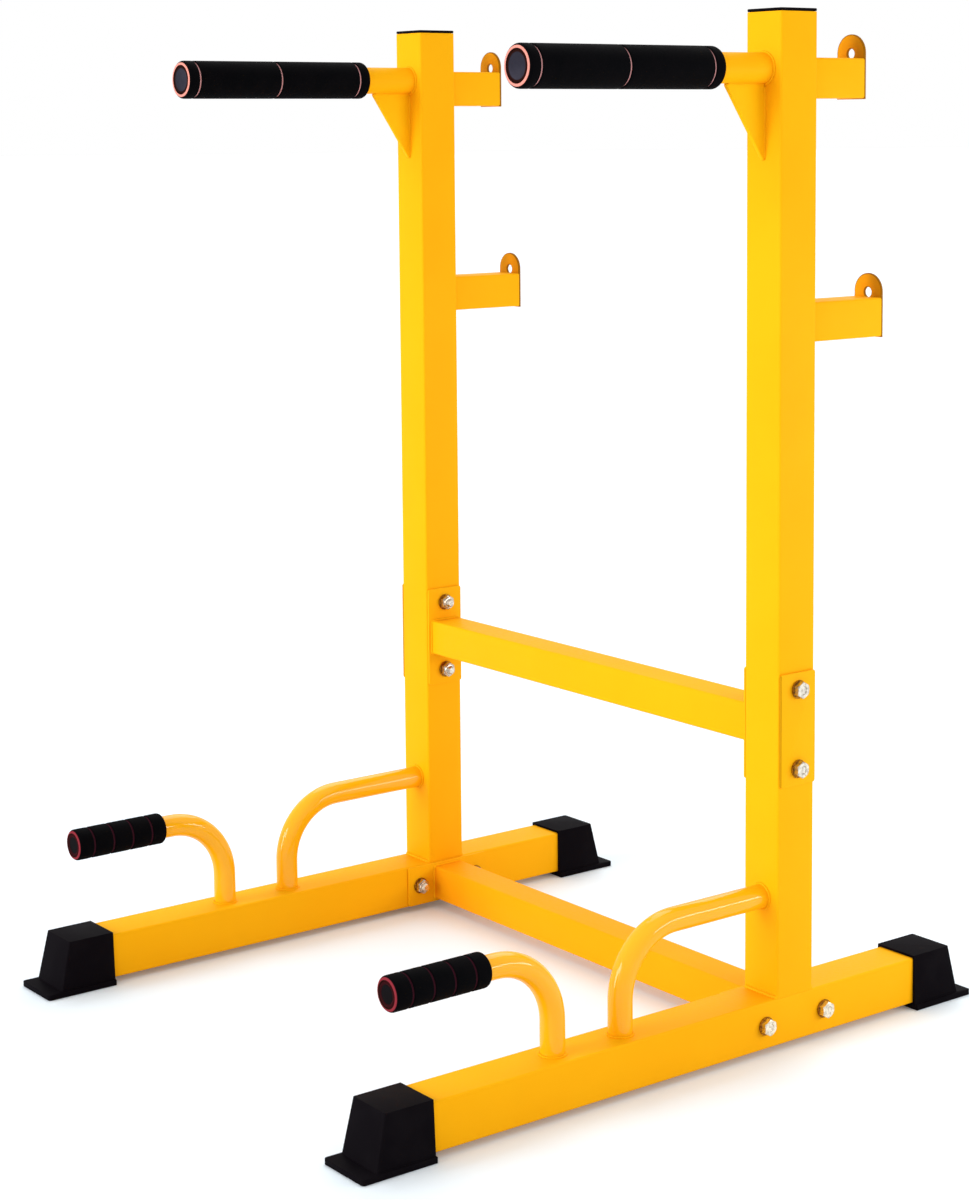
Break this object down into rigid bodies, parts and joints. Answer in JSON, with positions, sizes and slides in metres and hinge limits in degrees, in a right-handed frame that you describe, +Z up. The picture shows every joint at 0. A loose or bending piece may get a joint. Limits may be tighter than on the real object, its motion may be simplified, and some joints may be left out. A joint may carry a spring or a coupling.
{
  "type": "squat rack",
  "caption": "Free-standing squat rack of yellow square tube: two side frames with bar arms, padded dip bars and push-up handles, joined by bolted crossbars, on black feet.",
  "frame": {"origin": "on the floor, at the middle of the rack's bounding box", "axes": "+Z up, +Y towards the barbell arms at the back, -Y towards the dip bars and push-up handles, +X towards the right side frame seen from the front (-Y)"},
  "size_m": [0.7086, 0.836, 1.1053],
  "materials": {
    "paint": "glossy yellow powder coat",
    "foam": "matte black closed-cell foam",
    "plastic": "satin black moulded plastic",
    "fastener": "bright zinc plate"
  },
  "bodies": {
    "root": {"left_backing_plate": "paint", "left_base_tube": "paint", "left_brace_tube": "paint", "left_dip_bar": "paint", "left_dip_grip": "foam", "left_dip_plug": "plastic", "left_front_foot": "plastic", "left_gusset": "paint", "left_lower_arm": "paint", "left_lower_ear": "paint", "left_lower_front_bolt": "fastener", "left_lower_front_nut": "fastener", "left_lower_rear_bolt": "fastener", "left_lower_rear_nut": "fastener", "left_pushup_grip": "foam", "left_pushup_plug": "plastic", "left_pushup_tube": "paint", "left_rear_foot": "plastic", "left_top_plug": "plastic", "left_upper_arm": "paint", "left_upper_ear": "paint", "left_upper_high_bolt": "fastener", "left_upper_high_nut": "fastener", "left_upper_low_bolt": "fastener", "left_upper_low_nut": "fastener", "left_upright": "paint", "lower_crossbar": "paint", "lower_crossbar_left_plate": "paint", "lower_crossbar_right_plate": "paint", "right_backing_plate": "paint", "right_base_tube": "paint", "right_brace_tube": "paint", "right_dip_bar": "paint", "right_dip_grip": "foam", "right_dip_plug": "plastic", "right_front_foot": "plastic", "right_gusset": "paint", "right_lower_arm": "paint", "right_lower_ear": "paint", "right_lower_front_bolt": "fastener", "right_lower_front_nut": "fastener", "right_lower_rear_bolt": "fastener", "right_lower_rear_nut": "fastener", "right_pushup_grip": "foam", "right_pushup_plug": "plastic", "right_pushup_tube": "paint", "right_rear_foot": "plastic", "right_top_plug": "plastic", "right_upper_arm": "paint", "right_upper_ear": "paint", "right_upper_high_bolt": "fastener", "right_upper_high_nut": "fastener", "right_upper_low_bolt": "fastener", "right_upper_low_nut": "fastener", "right_upright": "paint", "upper_crossbar": "paint", "upper_crossbar_left_plate": "paint", "upper_crossbar_right_plate": "paint"}
  },
  "joints": []
}
